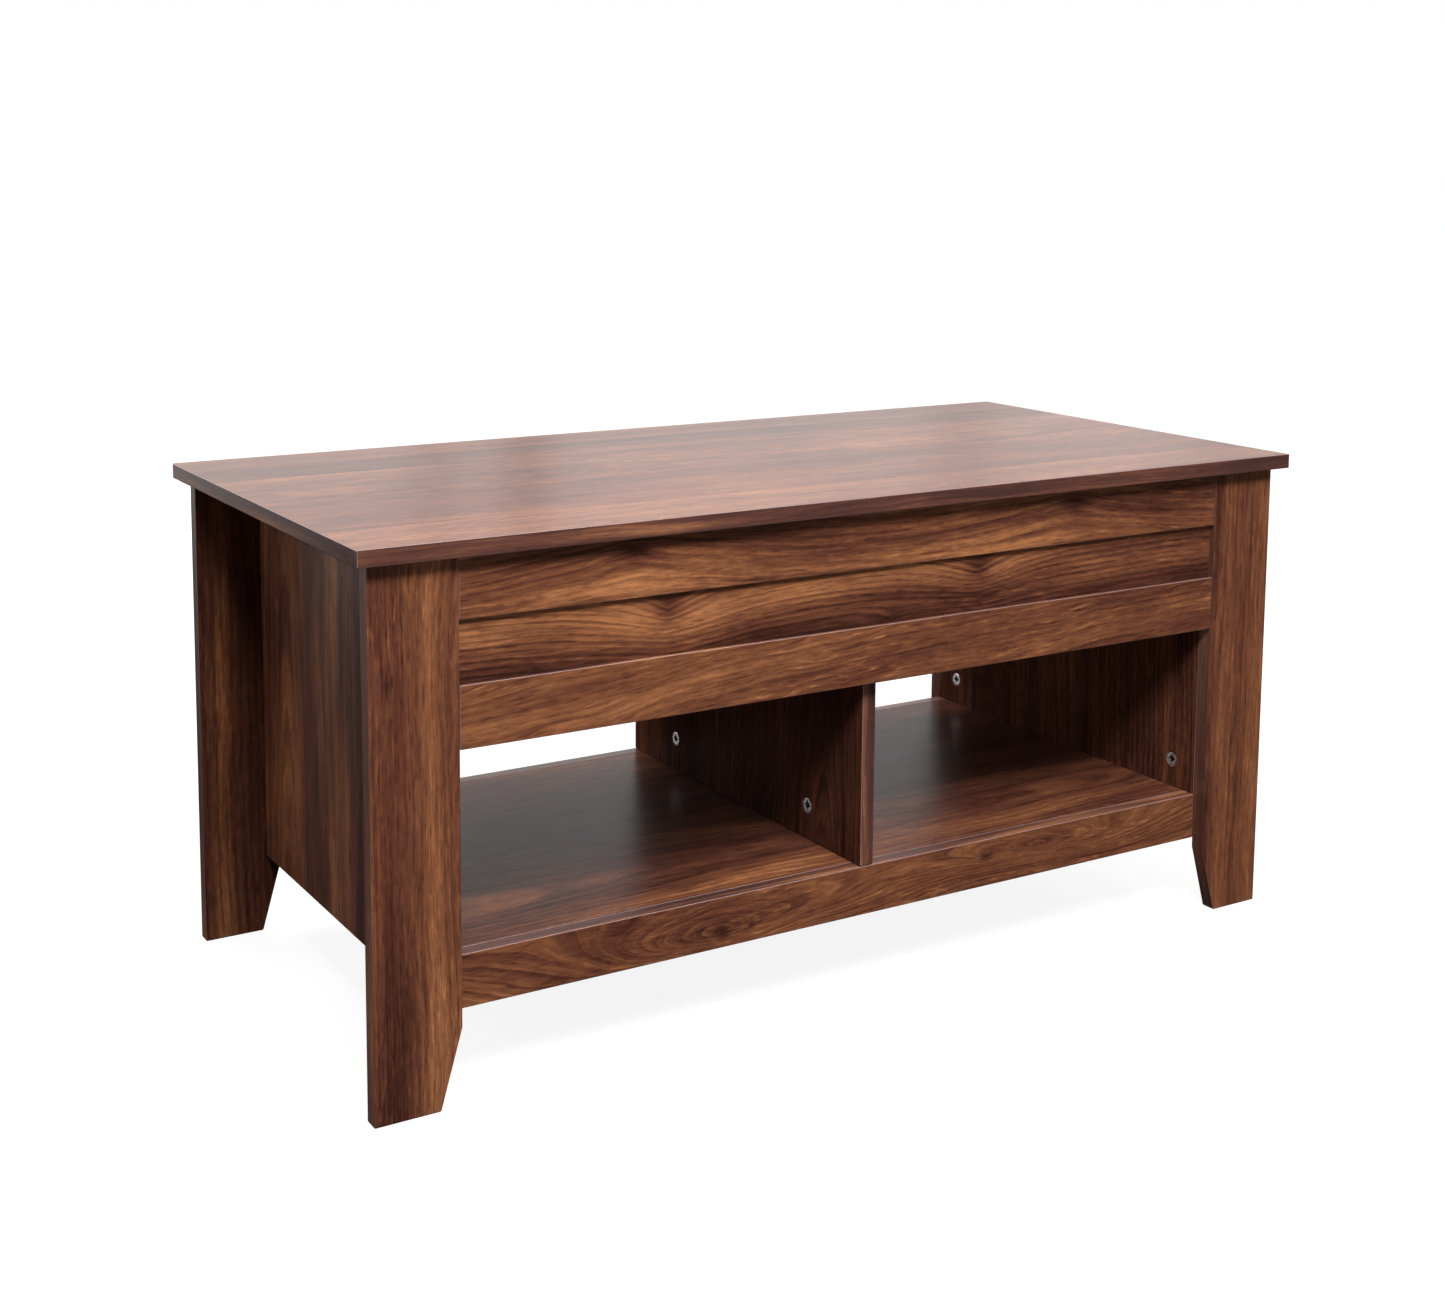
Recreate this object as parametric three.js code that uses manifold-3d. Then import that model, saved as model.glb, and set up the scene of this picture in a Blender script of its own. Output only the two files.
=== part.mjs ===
// Lift top coffee table: a walnut-laminate carcass with two open bays, a storage compartment above
// them, and a tabletop that two parallel-arm lift units carry up and forward.
//
// Millimetres. +X right, +Y to the rear, +Z up. The origin is on the floor, under the middle of the
// tabletop's outline. The front of the table faces -Y.
import * as THREE from 'three';
import { mergeVertices } from 'three/addons/utils/BufferGeometryUtils.js';
import Module from 'manifold-3d';

// ---- Driving dimensions ------------------------------------------------------------------------

// Whole table
const TOP_LENGTH = 1040;
const TOP_DEPTH = 500;
const TOP_HEIGHT = 490;
const BOARD = 15;
const SIDE_OVERHANG = 12.5;
const FRONT_OVERHANG = 13;
const REAR_OVERHANG = 17;

// Legs
const LEG_WIDTH = 80;
const TAPER_HEIGHT = 70;
const TAPER_INSET = 20;

// Levels above the floor
const BODY_BOTTOM = 79;
const SHELF_TOP = 127;
const BAY_TOP = 310;
const LOWER_RAIL_TOP = 365;
const UPPER_RAIL_BOTTOM = 420;
const LID_CLEARANCE = 1.8;

// Joints between boards
const SEAM = 0.3;
const INFILL_THICKNESS = 5;
const INFILL_SETBACK = 5;
const GROOVE_DEPTH = 6;
const GROOVE_PLAY = 0.2;

// Cam locks
const CAM_RADIUS = 7.3;
const CAM_LENGTH = 12;
const CAM_RECESS = 0.3;
const CAM_HOLE_RADIUS = 3.2;
const CAM_HOLE_DEPTH = 2.2;
const CAM_BORE_RADIUS = 7.7;
const CAM_BORE_DEPTH = 12.6;
const CAM_SETBACK = 34;
const DIVIDER_CAM_SPREAD = 129;
const DIVIDER_CAM_HEIGHT = 34.5;
const LOWER_SIDE_CAM_Z = 156.5;
const UPPER_SIDE_CAM_Z = 400;

// Lift unit, seen from its side: [y, z] of the pivots with the lid closed
const ARM_LENGTH = 200;
const LIFT_ANGLE = 135;
const FRONT_PIVOT = [-160, 440];
const PIVOT_SPACING = 90;
const PIVOT_SLOPE = 25;
const CRANK_LENGTH = 28;
const ANCHOR_Y = 150;

// Lift unit, seen from above: distances from the side panel's inner face
const BASE_PLATE = [0.3, 2.8];
const ARM_PLATE = [5, 8];
const LID_PLATE = [10, 12.5];
const BASE_FLANGE_REACH = 22;
const LID_FLANGE_REACH = 40;
const SPRING_REACH = 25;

const ARM_HALF_WIDTH = 11;
const CRANK_END_RADIUS = 7.5;
const LID_EAR_RADIUS = 13;
const BASE_EAR_FRONT_RADIUS = 16;
const BASE_EAR_REAR_RADIUS = 17;

const RIVET_RADIUS = 4;
const RIVET_HEAD_RADIUS = 7;
const RIVET_DOME = 1.4;
const TAIL_RADIUS = 6.5;
const TAIL_HEIGHT = 0.8;
const RUNNING_HOLE = 4.15;
const LOOSE_HOLE = 4.35;
const FIXED_HOLE = 4.3;

const SPRING_RADIUS = 7;
const SPRING_STEM_RADIUS = 1.2;
const SPRING_STEM = 15;
const ANCHOR_RADIUS = 3.6;
const CRANK_PIN_RADIUS = 3;
const CRANK_PIN_HOLE = 3.3;
const HOOK_GROOVE_RADIUS = 2.4;
const HOOK_GROOVE_HALF = 1.5;

const SCREW_RADIUS = 2;
const SCREW_LENGTH = 11;
const SCREW_HEAD_RADIUS = 4.5;
const SCREW_HEAD_HEIGHT = 2;
const PILOT_RADIUS = 2.3;
const PLATE_HOLE_RADIUS = 2.6;

const ROUND_SIDES = 16;
const SCREW_SIDES = 12;

const BUMPER_RADIUS = 5;
const BUMPER_SPREAD = 175;

// ---- Places worked out from them ---------------------------------------------------------------

const topUnderside = TOP_HEIGHT - BOARD;
const bodyTop = topUnderside - LID_CLEARANCE;
const legOuter = TOP_LENGTH / 2 - SIDE_OVERHANG;
const legInner = legOuter - LEG_WIDTH;
const panelInner = legInner;
const panelOuter = panelInner + BOARD;
const frontFace = -TOP_DEPTH / 2 + FRONT_OVERHANG;
const rearFace = TOP_DEPTH / 2 - REAR_OVERHANG;
const frontLegBack = frontFace + BOARD;
const rearLegFront = rearFace - BOARD;
const bodyMiddleY = (frontLegBack + rearLegFront) / 2;
const floorTop = BAY_TOP + BOARD;

const degrees = Math.PI / 180;
const along = ([y, z], distance, angle) => [
  y + distance * Math.cos(angle * degrees),
  z + distance * Math.sin(angle * degrees),
];
const REAR_PIVOT = along(FRONT_PIVOT, PIVOT_SPACING, -PIVOT_SLOPE);
const FRONT_LID_PIVOT = along(FRONT_PIVOT, ARM_LENGTH, 0);
const REAR_LID_PIVOT = along(REAR_PIVOT, ARM_LENGTH, 0);
// The crank swings evenly about straight down, so the spring lies level at both ends of the lift.
const crankPin = along(REAR_PIVOT, CRANK_LENGTH, -90 - LIFT_ANGLE / 2);
const springAnchor = [ANCHOR_Y, crankPin[1]];

// ---- Materials ---------------------------------------------------------------------------------

const walnut = new THREE.MeshStandardMaterial({ color: 0x6b4430, roughness: 0.45, metalness: 0 });
const walnutTop = new THREE.MeshStandardMaterial({ color: 0x7a5344, roughness: 0.35, metalness: 0 });
const blackSteel = new THREE.MeshStandardMaterial({ color: 0x1d1d1f, roughness: 0.5, metalness: 0.3 });
const zincSteel = new THREE.MeshStandardMaterial({ color: 0xb4b3ae, roughness: 0.35, metalness: 1 });
const springSteel = new THREE.MeshStandardMaterial({ color: 0x8d8d8f, roughness: 0.3, metalness: 1 });
const camAlloy = new THREE.MeshStandardMaterial({ color: 0x9a9a98, roughness: 0.4, metalness: 1 });
const rubber = new THREE.MeshStandardMaterial({ color: 0x2a2624, roughness: 0.8, metalness: 0 });

const table = new THREE.Group();

// ---- Solids ------------------------------------------------------------------------------------

const wasm = await Module();
wasm.setup();

// Exact axis swaps, so that no rounding enters with a rotation.
const EXTRUDE_ALONG_X = new THREE.Matrix4().set(0, 0, 1, 0, 1, 0, 0, 0, 0, 1, 0, 0, 0, 0, 0, 1);
const STAND_UPRIGHT = new THREE.Matrix4().set(1, 0, 0, 0, 0, 0, -1, 0, 0, 1, 0, 0, 0, 0, 0, 1);
const TURN_ABOUT_X = new THREE.Matrix4().set(0, 1, 0, 0, 0, 0, 1, 0, 1, 0, 0, 0, 0, 0, 0, 1);
const TURN_ABOUT_Y = new THREE.Matrix4().set(0, 0, 1, 0, 0, 1, 0, 0, -1, 0, 0, 0, 0, 0, 0, 1);
const TURN_ABOUT_Z = EXTRUDE_ALONG_X;

function manifoldOf(geometry) {
  const bare = geometry.clone();
  bare.deleteAttribute('normal');
  bare.deleteAttribute('uv');
  const merged = mergeVertices(bare, 1e-4);
  return new wasm.Manifold(new wasm.Mesh({
    numProp: 3,
    vertProperties: merged.attributes.position.array,
    triVerts: new Uint32Array(merged.index.array),
  }));
}

function geometryOf(manifold) {
  const { vertProperties, triVerts } = manifold.getMesh();
  const geometry = new THREE.BufferGeometry();
  geometry.setAttribute('position', new THREE.BufferAttribute(new Float32Array(vertProperties), 3));
  geometry.setIndex(new THREE.BufferAttribute(new Uint32Array(triVerts), 1));
  geometry.computeVertexNormals();
  return geometry;
}

const cut = (geometry, cutters) => geometryOf(
  cutters.reduce((solid, cutter) => solid.subtract(manifoldOf(cutter)), manifoldOf(geometry)),
);

const join = (geometries) => geometryOf(
  geometries.map(manifoldOf).reduce((solid, other) => solid.add(other)),
);

function add(name, geometry, material, [x, y, z] = [0, 0, 0]) {
  const mesh = new THREE.Mesh(geometry, material);
  mesh.name = name;
  mesh.position.set(x, y, z);
  table.add(mesh);
}

// A box between two corners, given as [low, high] on each axis.
function box([x0, x1], [y0, y1], [z0, z1]) {
  return new THREE.BoxGeometry(x1 - x0, y1 - y0, z1 - z0)
    .translate((x0 + x1) / 2, (y0 + y1) / 2, (z0 + z1) / 2);
}

// An outline in [y, z], as thick as the span in x.
function plate(shape, [x0, x1]) {
  const thickness = Math.abs(x1 - x0);
  return new THREE.ExtrudeGeometry(shape, { depth: thickness, bevelEnabled: false })
    .applyMatrix4(EXTRUDE_ALONG_X)
    .translate(Math.min(x0, x1), 0, 0);
}

// The convex outline around some discs, each [y, z, radius].
function around(discs, steps = ROUND_SIDES) {
  const points = discs.flatMap(([y, z, radius]) => Array.from({ length: steps }, (_, i) => {
    const angle = (2 * Math.PI * (i + 0.5)) / steps;
    return new THREE.Vector2(y + radius * Math.cos(angle), z + radius * Math.sin(angle));
  }));
  points.sort((a, b) => a.x - b.x || a.y - b.y);
  const chain = (list) => list.reduce((hull, p) => {
    const turnsLeft = ([a, b]) => (b.x - a.x) * (p.y - a.y) - (b.y - a.y) * (p.x - a.x) > 1e-6;
    while (hull.length > 1 && !turnsLeft(hull.slice(-2))) hull.pop();
    return [...hull, p];
  }, []);
  const lower = chain(points);
  const upper = chain(points.reverse());
  return new THREE.Shape([...lower.slice(0, -1), ...upper.slice(0, -1)]);
}

// A turned solid: its profile is [distance along the axis, radius], from axis to axis.
function turned(profile, swap, direction = 1, sides = ROUND_SIDES) {
  const points = profile.map(([distance, radius]) => new THREE.Vector2(radius, distance * direction));
  if (direction < 0) points.reverse();
  return new THREE.LatheGeometry(points, sides).applyMatrix4(swap);
}

// A drill along an axis: starts at one distance and ends at another.
function drill(radius, from, to, swap, sides = ROUND_SIDES) {
  const start = Math.min(from, to);
  const end = Math.max(from, to);
  return turned([[start, 0], [start, radius], [end, radius], [end, 0]], swap, 1, sides);
}

// ---- Carcass boards ----------------------------------------------------------------------------

const SIDES = [['left', -1], ['right', 1]];
const ENDS = [['front', -1], ['rear', 1]];

const between = (low, high) => [low + SEAM, high - SEAM];
const mirrored = (side, near, far) => (side < 0 ? [-far, -near] : [near, far]);

function leg(name, side, [y0, y1]) {
  const outline = new THREE.Shape([
    new THREE.Vector2(side * legOuter, 0),
    new THREE.Vector2(side * legOuter, bodyTop),
    new THREE.Vector2(side * legInner, bodyTop),
    new THREE.Vector2(side * legInner, TAPER_HEIGHT),
    new THREE.Vector2(side * (legInner + TAPER_INSET), 0),
  ]);
  // The outline stands in [x, z]; turning the extrusion up leaves it running towards -Y.
  const plank = new THREE.ExtrudeGeometry(outline, { depth: y1 - y0, bevelEnabled: false })
    .applyMatrix4(STAND_UPRIGHT)
    .translate(0, y1, 0);
  add(name, plank, walnut);
}

function legs() {
  for (const [sideName, side] of SIDES) {
    leg(`front_${sideName}_leg`, side, [frontFace, frontLegBack]);
    leg(`rear_${sideName}_leg`, side, [rearLegFront, rearFace]);
  }
}

const baseScrews = [['front', [-160, 384]], ['rear', [110, 372]]];
const spareHoles = [[40, 372], [-30, 372]];
const lidScrews = [['front', -30], ['rear', 170]];
const LID_SCREW_REACH = 28;

const sideCams = ENDS.flatMap(([endName, end]) => {
  const y = end < 0 ? frontLegBack + CAM_SETBACK : rearLegFront - CAM_SETBACK;
  return [[`${endName}_lower`, y, LOWER_SIDE_CAM_Z], [`${endName}_upper`, y, UPPER_SIDE_CAM_Z]];
});

function sidePanels() {
  for (const [sideName, side] of SIDES) {
    const board = box(
      mirrored(side, panelInner, panelOuter),
      between(frontLegBack, rearLegFront),
      [BODY_BOTTOM, bodyTop],
    );
    const face = side * panelInner;
    const outward = (depth) => [face - side, face + side * depth];
    const camBores = sideCams.map(([, y, z]) => (
      drill(CAM_BORE_RADIUS, ...outward(CAM_BORE_DEPTH), TURN_ABOUT_X).translate(0, y, z)));
    const pilots = baseScrews.map(([, [y, z]]) => (
      drill(PILOT_RADIUS, ...outward(SCREW_LENGTH), TURN_ABOUT_X, SCREW_SIDES).translate(0, y, z)));
    add(`${sideName}_side_panel`, cut(board, [...camBores, ...pilots]), walnut);
  }
}

const spanX = between(-legInner, legInner);

function frontFrame() {
  const grooveFront = frontFace + INFILL_SETBACK;
  const groove = (z0, z1) => box(
    [-legOuter, legOuter],
    [grooveFront - GROOVE_PLAY, grooveFront + INFILL_THICKNESS + GROOVE_PLAY],
    [z0, z1],
  );
  const face = [frontFace, frontLegBack];
  const upper = box(spanX, face, [UPPER_RAIL_BOTTOM, bodyTop]);
  const lower = box(spanX, face, [BAY_TOP, LOWER_RAIL_TOP]);
  const upperGroove = groove(UPPER_RAIL_BOTTOM - 1, UPPER_RAIL_BOTTOM + GROOVE_DEPTH);
  const lowerGroove = groove(LOWER_RAIL_TOP - GROOVE_DEPTH, LOWER_RAIL_TOP + 1);
  add('upper_front_rail', cut(upper, [upperGroove]), walnut);
  add('lower_front_rail', cut(lower, [lowerGroove]), walnut);
  add('front_infill_panel', box(
    spanX,
    [grooveFront, grooveFront + INFILL_THICKNESS],
    between(LOWER_RAIL_TOP - GROOVE_DEPTH, UPPER_RAIL_BOTTOM + GROOVE_DEPTH),
  ), walnut);
}

function storageBoards() {
  add('rear_panel', box(spanX, [rearLegFront, rearFace], [BAY_TOP, bodyTop]), walnut);
  add('storage_floor', box(spanX, between(frontLegBack, rearLegFront), [BAY_TOP, floorTop]), walnut);
}

const dividerCams = ENDS.map(([endName, end]) => (
  [endName, bodyMiddleY + end * DIVIDER_CAM_SPREAD, SHELF_TOP + DIVIDER_CAM_HEIGHT]));

function lowerBoards() {
  const railZ = [BODY_BOTTOM, SHELF_TOP];
  add('front_bottom_rail', box(spanX, [frontLegBack, frontLegBack + BOARD], railZ), walnut);
  add('rear_bottom_rail', box(spanX, [rearLegFront - BOARD, rearLegFront], railZ), walnut);
  add('lower_shelf', box(
    spanX,
    between(frontLegBack + BOARD, rearLegFront - BOARD),
    [SHELF_TOP - BOARD, SHELF_TOP],
  ), walnut);
  const divider = box(
    [-BOARD / 2, BOARD / 2],
    [frontLegBack, rearLegFront],
    between(SHELF_TOP, BAY_TOP),
  );
  const bores = dividerCams.map(([, y, z]) => (
    drill(CAM_BORE_RADIUS, -BOARD / 2 - 1, -BOARD / 2 + CAM_BORE_DEPTH, TURN_ABOUT_X).translate(0, y, z)));
  add('bay_divider', cut(divider, bores), walnut);
}

// ---- Cam locks ---------------------------------------------------------------------------------

// A cross-shaped driver recess, sunk into a face that looks along x.
function crossRecess(length, width, [x0, x1]) {
  const across = [Math.min(x0, x1), Math.max(x0, x1)];
  const long = [-length / 2, length / 2];
  const short = [-width / 2, width / 2];
  return [box(across, long, short), box(across, short, long)];
}

// A cam lock set into a face at x that looks towards `facing` (-1 or +1).
function camLock(name, x, y, z, facing) {
  const edge = 0.6;
  const body = turned([
    [0, 0],
    [0, CAM_RADIUS],
    [CAM_LENGTH - edge, CAM_RADIUS],
    [CAM_LENGTH, CAM_RADIUS - edge],
    [CAM_LENGTH, 0],
  ], TURN_ABOUT_X, facing);
  const depth = [facing * (CAM_LENGTH - CAM_HOLE_DEPTH), facing * (CAM_LENGTH + 1)];
  const hole = drill(CAM_HOLE_RADIUS, ...depth, TURN_ABOUT_X, SCREW_SIDES);
  const recess = [hole, ...crossRecess(9.6, 1.6, depth)];
  add(name, cut(body, recess), camAlloy, [x - facing * (CAM_LENGTH + CAM_RECESS), y, z]);
}

function camLocks() {
  for (const [endName, y, z] of dividerCams) {
    camLock(`divider_cam_${endName}`, -BOARD / 2, y, z, -1);
  }
  for (const [sideName, side] of SIDES) {
    for (const [place, y, z] of sideCams) {
      camLock(`${sideName}_side_cam_${place}`, side * panelInner, y, z, -side);
    }
  }
}

// ---- Tabletop ----------------------------------------------------------------------------------

function tabletop() {
  const slab = box(
    [-TOP_LENGTH / 2, TOP_LENGTH / 2],
    [-TOP_DEPTH / 2, TOP_DEPTH / 2],
    [topUnderside, TOP_HEIGHT],
  );
  const pilots = SIDES.flatMap(([, side]) => lidScrews.map(([, y]) => (
    drill(PILOT_RADIUS, topUnderside - 1, topUnderside + SCREW_LENGTH, TURN_ABOUT_Z, SCREW_SIDES)
      .translate(side * (panelInner - LID_SCREW_REACH), y, 0))));
  add('tabletop', cut(slab, pilots), walnutTop);
}

function bumpers() {
  const height = LID_CLEARANCE - 2 * SEAM;
  for (const [sideName, side] of SIDES) {
    for (const [endName, end] of ENDS) {
      const pad = turned([
        [0, 0],
        [0, BUMPER_RADIUS],
        [height / 2, BUMPER_RADIUS],
        [height, BUMPER_RADIUS - 1],
        [height, 0],
      ], TURN_ABOUT_Z);
      const x = side * (panelInner + BOARD / 2);
      const y = bodyMiddleY + end * BUMPER_SPREAD;
      add(`${endName}_${sideName}_bumper`, pad, rubber, [x, y, bodyTop + SEAM]);
    }
  }
}

// ---- Lift units --------------------------------------------------------------------------------

const hole = (radius, [y, z], [x0, x1], sides = ROUND_SIDES) => (
  drill(radius, Math.min(x0, x1) - 1, Math.max(x0, x1) + 1, TURN_ABOUT_X, sides).translate(0, y, z));

function liftUnit(sideName, side) {
  // Distances from the side panel's inner face become x, growing towards the middle of the table.
  const inboard = (distance) => side * (panelInner - distance);
  const layer = ([near, far]) => [inboard(near), inboard(far)].sort((a, b) => a - b);
  const named = (piece) => `${sideName}_${piece}`;

  const basePlate = layer(BASE_PLATE);
  const armPlate = layer(ARM_PLATE);
  const lidPlate = layer(LID_PLATE);

  const BAR = { front: -178, rear: 168, bottom: 358, top: 405, corner: 6 };
  const corner = (y, z) => [
    y + (y < bodyMiddleY ? BAR.corner : -BAR.corner),
    z + (z < (BAR.bottom + BAR.top) / 2 ? BAR.corner : -BAR.corner),
    BAR.corner,
  ];
  const gauge = BASE_PLATE[1] - BASE_PLATE[0];

  function baseBracket() {
    const bar = around([
      corner(BAR.front, BAR.bottom),
      corner(BAR.rear, BAR.bottom),
      corner(BAR.rear, BAR.top),
      corner(BAR.front, BAR.top),
    ]);
    const ear = around([
      [...FRONT_PIVOT, BASE_EAR_FRONT_RADIUS],
      [...REAR_PIVOT, BASE_EAR_REAR_RADIUS],
      corner(BAR.front, BAR.bottom),
      [REAR_PIVOT[0] + 30, BAR.bottom + 20, BAR.corner],
    ]);
    const flange = box(
      layer([BASE_PLATE[0], BASE_FLANGE_REACH]),
      [BAR.front + BAR.corner, BAR.rear - BAR.corner],
      [BAR.bottom, BAR.bottom + gauge],
    );
    const solid = join([plate(bar, basePlate), plate(ear, basePlate), flange]);
    const screwHoles = [...baseScrews.map(([, at]) => at), ...spareHoles]
      .map((at) => hole(PLATE_HOLE_RADIUS, at, basePlate, SCREW_SIDES));
    const pivots = [FRONT_PIVOT, REAR_PIVOT, springAnchor]
      .map((at) => hole(FIXED_HOLE, at, basePlate));
    add(named('base_bracket'), cut(solid, [...screwHoles, ...pivots]), blackSteel);
  }

  function arms() {
    const front = plate(around([
      [...FRONT_PIVOT, ARM_HALF_WIDTH],
      [...FRONT_LID_PIVOT, ARM_HALF_WIDTH],
    ]), armPlate);
    // The lid hangs on the left front arm's upper pivot; the other upper pivots close the linkage.
    const carriesLid = side < 0;
    add(named('front_arm'), cut(front, [
      hole(RUNNING_HOLE, FRONT_PIVOT, armPlate),
      hole(carriesLid ? RUNNING_HOLE : LOOSE_HOLE, FRONT_LID_PIVOT, armPlate),
    ]), blackSteel);

    const bar = plate(around([
      [...REAR_PIVOT, ARM_HALF_WIDTH],
      [...REAR_LID_PIVOT, ARM_HALF_WIDTH],
    ]), armPlate);
    const crank = plate(around([
      [...REAR_PIVOT, ARM_HALF_WIDTH],
      [...crankPin, CRANK_END_RADIUS],
    ]), armPlate);
    add(named('rear_arm'), cut(join([bar, crank]), [
      hole(RUNNING_HOLE, REAR_PIVOT, armPlate),
      hole(LOOSE_HOLE, REAR_LID_PIVOT, armPlate),
      hole(CRANK_PIN_HOLE, crankPin, armPlate),
    ]), blackSteel);
  }

  function lidBracket() {
    const plateTop = topUnderside - SEAM;
    const ear = around([
      [...FRONT_LID_PIVOT, LID_EAR_RADIUS],
      [...REAR_LID_PIVOT, LID_EAR_RADIUS],
      [FRONT_LID_PIVOT[0] - 20, plateTop - 3, 3],
      [REAR_LID_PIVOT[0] + 25, plateTop - 3, 3],
    ]);
    const flange = box(
      layer([LID_PLATE[0], LID_FLANGE_REACH]),
      [FRONT_LID_PIVOT[0] - 90, REAR_LID_PIVOT[0] + 68],
      [plateTop - gauge, plateTop],
    );
    const holes = [FRONT_LID_PIVOT, REAR_LID_PIVOT].map((at) => hole(FIXED_HOLE, at, lidPlate));
    const screwHoles = lidScrews.map(([, y]) => (
      drill(PLATE_HOLE_RADIUS, plateTop - gauge - 1, plateTop + 1, TURN_ABOUT_Z, SCREW_SIDES)
        .translate(inboard(LID_SCREW_REACH), y, 0)));
    const solid = join([plate(ear, lidPlate), flange]);
    add(named('lid_bracket'), cut(solid, [...holes, ...screwHoles]), blackSteel);
  }

  // Rivets, from the side panel towards the middle: [distance, radius].
  const stem = (profile) => turned(profile, TURN_ABOUT_X, -side);

  const armOuter = ARM_PLATE[0] - SEAM;
  const armInner = ARM_PLATE[1] + SEAM;
  const lowerRivet = [
    [0.6, 0],
    [0.6, RIVET_RADIUS],
    [BASE_PLATE[1] + SEAM, RIVET_RADIUS],
    [BASE_PLATE[1] + SEAM, RIVET_HEAD_RADIUS],
    [armOuter, RIVET_HEAD_RADIUS],
    [armOuter, RIVET_RADIUS],
    [armInner, RIVET_RADIUS],
    [armInner, RIVET_HEAD_RADIUS],
    [armInner + RIVET_DOME, RIVET_HEAD_RADIUS - 2],
    [armInner + RIVET_DOME, 0],
  ];
  const lidInner = LID_PLATE[1] + SEAM;
  const upperRivet = [
    [armOuter - TAIL_HEIGHT, 0],
    [armOuter - TAIL_HEIGHT, TAIL_RADIUS],
    [armOuter, TAIL_RADIUS],
    [armOuter, RIVET_RADIUS],
    [armInner, RIVET_RADIUS],
    [armInner, RIVET_HEAD_RADIUS],
    [LID_PLATE[0] - SEAM, RIVET_HEAD_RADIUS],
    [LID_PLATE[0] - SEAM, RIVET_RADIUS],
    [lidInner, RIVET_RADIUS],
    [lidInner, RIVET_HEAD_RADIUS],
    [lidInner + RIVET_DOME, RIVET_HEAD_RADIUS - 2],
    [lidInner + RIVET_DOME, 0],
  ];

  function rivets() {
    const lower = [['front_lower_rivet', FRONT_PIVOT], ['rear_lower_rivet', REAR_PIVOT]];
    const upper = [['front_upper_rivet', FRONT_LID_PIVOT], ['rear_upper_rivet', REAR_LID_PIVOT]];
    for (const [piece, at] of lower) add(named(piece), stem(lowerRivet), zincSteel, [inboard(0), ...at]);
    for (const [piece, at] of upper) add(named(piece), stem(upperRivet), zincSteel, [inboard(0), ...at]);
  }

  // A pin whose groove holds the spring's hook.
  const hookPin = (start, collar, radius) => [
    [start, 0],
    [start, radius],
    [collar, radius],
    [collar, radius + 2.5],
    [collar + 1.4, radius + 2.5],
    [collar + 1.4, radius],
    [SPRING_REACH - HOOK_GROOVE_HALF - 0.5, radius],
    [SPRING_REACH - HOOK_GROOVE_HALF, HOOK_GROOVE_RADIUS],
    [SPRING_REACH + HOOK_GROOVE_HALF, HOOK_GROOVE_RADIUS],
    [SPRING_REACH + HOOK_GROOVE_HALF + 0.5, radius],
    [SPRING_REACH + 4.6, radius],
    [SPRING_REACH + 4.6, 0],
  ];

  function spring() {
    const anchor = hookPin(0.6, BASE_PLATE[1] + SEAM, ANCHOR_RADIUS);
    const pin = hookPin(ARM_PLATE[0] + 0.2, ARM_PLATE[1] + SEAM, CRANK_PIN_RADIUS);
    add(named('spring_anchor'), stem(anchor), zincSteel, [inboard(0), ...springAnchor]);
    add(named('spring_crank_pin'), stem(pin), zincSteel, [inboard(0), ...crankPin]);
    // The coil's envelope, with its two hook stems: distances rearwards from the crank pin.
    const length = springAnchor[0] - crankPin[0];
    const hookClear = HOOK_GROOVE_RADIUS + SEAM;
    const envelope = turned([
      [hookClear, 0],
      [hookClear, SPRING_STEM_RADIUS],
      [SPRING_STEM, SPRING_STEM_RADIUS],
      [SPRING_STEM, SPRING_RADIUS],
      [length - SPRING_STEM, SPRING_RADIUS],
      [length - SPRING_STEM, SPRING_STEM_RADIUS],
      [length - hookClear, SPRING_STEM_RADIUS],
      [length - hookClear, 0],
    ], TURN_ABOUT_Y);
    add(named('lift_spring'), envelope, springSteel, [inboard(SPRING_REACH), ...crankPin]);
  }

  const screwProfile = [
    [-SCREW_LENGTH + 1, 0],
    [-SCREW_LENGTH + 3, SCREW_RADIUS],
    [SEAM, SCREW_RADIUS],
    [SEAM, SCREW_HEAD_RADIUS],
    [SEAM + SCREW_HEAD_HEIGHT / 2, SCREW_HEAD_RADIUS],
    [SEAM + SCREW_HEAD_HEIGHT, SCREW_HEAD_RADIUS - 1.5],
    [SEAM + SCREW_HEAD_HEIGHT, 0],
  ];
  const recessFloor = SEAM + SCREW_HEAD_HEIGHT - 1.2;
  const recessTop = SEAM + SCREW_HEAD_HEIGHT + 1;

  function screws() {
    for (const [place, at] of baseScrews) {
      const screw = turned(screwProfile, TURN_ABOUT_X, -side, SCREW_SIDES);
      const recess = crossRecess(4, 0.9, [-side * recessFloor, -side * recessTop]);
      add(named(`base_screw_${place}`), cut(screw, recess), zincSteel, [inboard(BASE_PLATE[1]), ...at]);
    }
    for (const [place, y] of lidScrews) {
      // Turned heads down, under the lid bracket's flange.
      const screw = turned(screwProfile, TURN_ABOUT_Z, -1, SCREW_SIDES);
      const deep = [-recessTop, -recessFloor];
      const recess = [box([-2, 2], [-0.45, 0.45], deep), box([-0.45, 0.45], [-2, 2], deep)];
      const z = topUnderside - SEAM - gauge;
      add(named(`lid_screw_${place}`), cut(screw, recess), zincSteel, [inboard(LID_SCREW_REACH), y, z]);
    }
  }

  baseBracket();
  arms();
  lidBracket();
  rivets();
  spring();
  screws();
}

tabletop();
legs();
sidePanels();
frontFrame();
storageBoards();
lowerBoards();
camLocks();
bumpers();
for (const [sideName, side] of SIDES) liftUnit(sideName, side);

export default table;
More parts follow.
